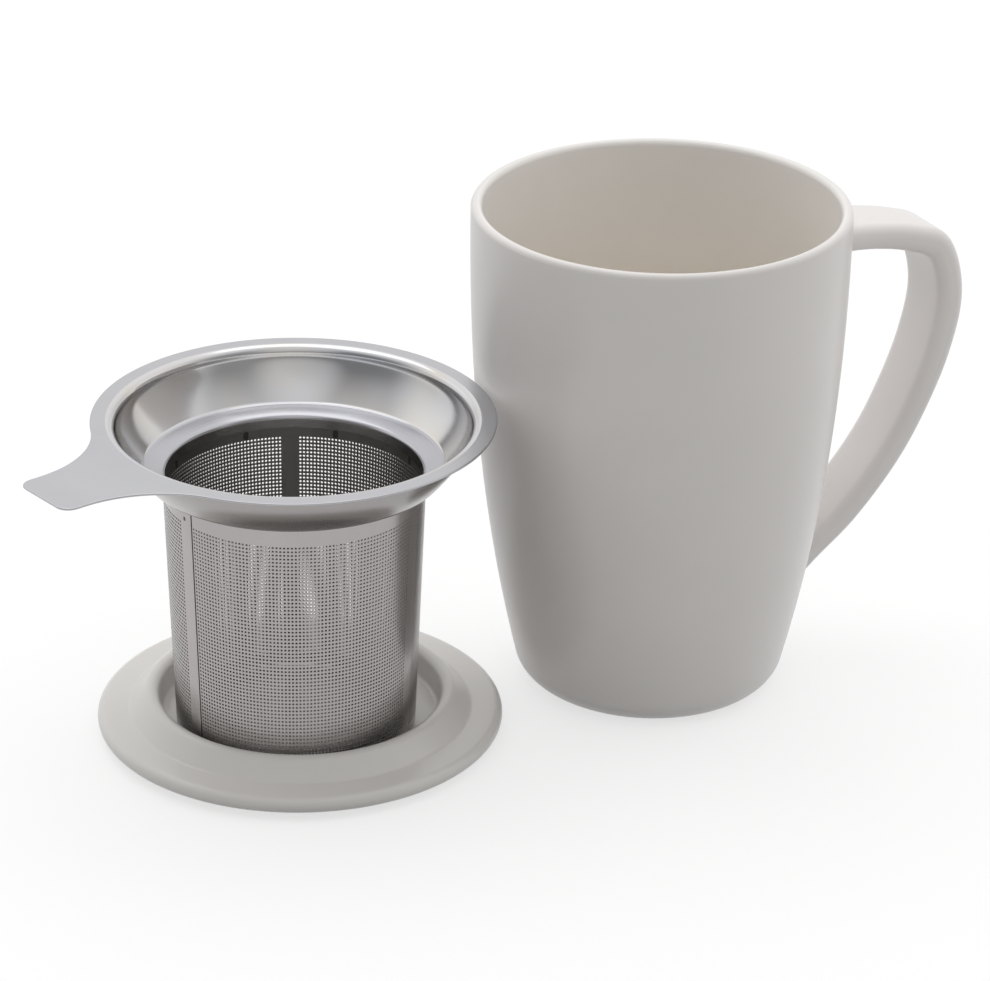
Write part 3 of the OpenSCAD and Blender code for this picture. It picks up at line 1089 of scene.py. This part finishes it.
@dataclass
class Studio:
    """A pale floor, a soft lamp, a white surround and the camera."""

    eye: Triple = (-36.82, -896.47, 466.62)
    down: float = 25.148
    roll: float = 0.839
    lens: float = 154.41
    sensor: float = 36.0
    clip: Pair = (0.05, 50.0)
    floor_half: float = 4000.0
    floor_z: float = -0.02
    floor_grey: float = 0.52
    floor_roughness: float = 0.9
    pale_grey: float = 0.36
    pale_glow: float = 0.66
    lift: Triple = (0.0, 0.5, 0.85)
    glow: Pair = (0.38, 1.18)
    glow_span: Pair = (0.1, 1.0)
    least: float = 0.1
    horizon: Pair = (0.05, 0.2)
    boxes: tuple[tuple[Triple, float, float, float], ...] = (
        ((-0.9, 0.3, 0.1), 0.7, 0.95, 0.4),
        ((0.95, 0.1, 0.08), 0.7, 0.95, 0.43),
        ((0.0, -0.78, 0.62), 0.86, 1.0, 0.4),
        ((-0.5, -0.85, 0.1), 0.6, 0.95, -0.12),
    )
    lamp_place: Triple = (-0.3, 0.5, 1.5)
    lamp_aim: Triple = (-0.03, 0.0, 0.05)
    lamp_size: float = 1.2
    lamp_power: float = 3.0

    def camera(self) -> None:
        """Place the camera: looking along +Y, down by an angle, and rolled a little."""
        turn = (Matrix.Rotation(math.radians(90 - self.down), 4, "X")
                @ Matrix.Rotation(math.radians(self.roll), 4, "Z"))
        data = bpy.data.cameras.new("camera")
        data.lens, data.sensor_width, data.sensor_fit = self.lens, self.sensor, "HORIZONTAL"
        data.clip_start, data.clip_end = self.clip
        camera = bpy.data.objects.new("camera", data)
        camera.matrix_world = Matrix.Translation(Vector(self.eye) * MM) @ turn
        bpy.context.scene.collection.objects.link(camera)
        bpy.context.scene.camera = camera

    def floor(self) -> None:
        """Make the floor: plain grey for the light, and near white with a shadow for the eye."""
        reach = np.linspace(-self.floor_half, self.floor_half, 3)
        x, y = np.meshgrid(reach, reach)
        shape = Shape()
        shape.add(np.stack([x, y, np.full_like(x, self.floor_z)], axis=2),
                  grid_faces(*x.shape, close_columns=False))
        floor = shape.piece("floor")
        recipe = Recipe("floor_white")
        grey, pale = ((shade,) * 3 + (1,) for shade in (self.floor_grey, self.pale_grey))
        recipe.set(Base_Color=grey, Roughness=self.floor_roughness, Specular_IOR_Level=0.0)
        both = recipe.node("AddShader", i0=recipe.node("BsdfDiffuse", Color=pale).outputs[0],
                           i1=recipe.node("Emission", Strength=self.pale_glow).outputs[0])
        mix = recipe.node("MixShader", i0=recipe.seen_directly(), i1=recipe.shader.outputs[0],
                          i2=both.outputs[0])
        recipe.feed(recipe.output, "Surface", mix.outputs[0])
        floor.data.materials.append(recipe.material)

    def world(self) -> None:
        """Light the set from all round.

        The glow grows along the lift direction, and each soft box or flag adds or takes
        away glow where a direction's dot product with its own passes from outer to inner.
        The eye, metal and glass see a white backdrop under it, up to the height of horizon.
        """
        world = bpy.data.worlds.new("surround")
        bpy.context.scene.world = world
        nodes = Nodes(world)
        spot = nodes.node("TexCoord").outputs["Generated"]

        def facing(direction: Triple) -> Socket:
            """Dot product of the looking direction with a unit vector."""
            return nodes.vector("DOT_PRODUCT", spot, i1=Vector(direction).normalized())["Value"]

        total = nodes.ramp(facing(self.lift), self.glow_span, self.glow)
        for direction, outer, inside_glaze_painted_light_and_shade, strength in self.boxes:
            part = nodes.ramp(facing(direction), (outer, inside_glaze_painted_light_and_shade), (0.0, strength))
            total = nodes.compute("ADD", total, part)
        total = nodes.compute("MAXIMUM", total, self.least)
        height = nodes.node("SeparateXYZ", Vector=spot).outputs[2]
        below = nodes.ramp(height, self.horizon, (1.0, 0.0))
        share = nodes.compute("MULTIPLY", nodes.seen_directly(), below)
        mix = nodes.node("Mix", {"data_type": "FLOAT"}, i0=share, i2=total, i3=1.0)
        back = nodes.node("Background", Color=(1, 1, 1, 1), Strength=mix.outputs[0])
        nodes.node("OutputWorld", Surface=back.outputs[0])

    def lamp(self) -> None:
        """Hang the soft square lamp over the set, facing its middle."""
        data = bpy.data.lights.new("lamp_over", "AREA")
        data.shape, data.energy = "RECTANGLE", self.lamp_power
        data.size = data.size_y = self.lamp_size
        lamp = bpy.data.objects.new("lamp_over", data)
        lamp.location = self.lamp_place
        toward = Vector(self.lamp_aim) - Vector(self.lamp_place)
        lamp.rotation_euler = toward.to_track_quat("-Z", "Y").to_euler()
        bpy.context.scene.collection.objects.link(lamp)

    def build(self) -> None:
        """Set up the camera, floor, surround and lamp."""
        self.camera()
        self.floor()
        self.world()
        self.lamp()
        bpy.context.scene.view_settings.view_transform = "Standard"


def main() -> None:
    """Build the studio and every sub-assembly."""
    logging.basicConfig(level=logging.INFO, format="%(name)s: %(message)s")
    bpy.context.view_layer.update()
    Studio().build()
    Mug().build()
    Lid(axis_of("lid")).build()
    rim_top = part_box("infuser_funnel")[1].z / MM
    Infuser(axis_of("infuser_sleeve"), rim_top).build()


if __name__ == "__main__":
    main()
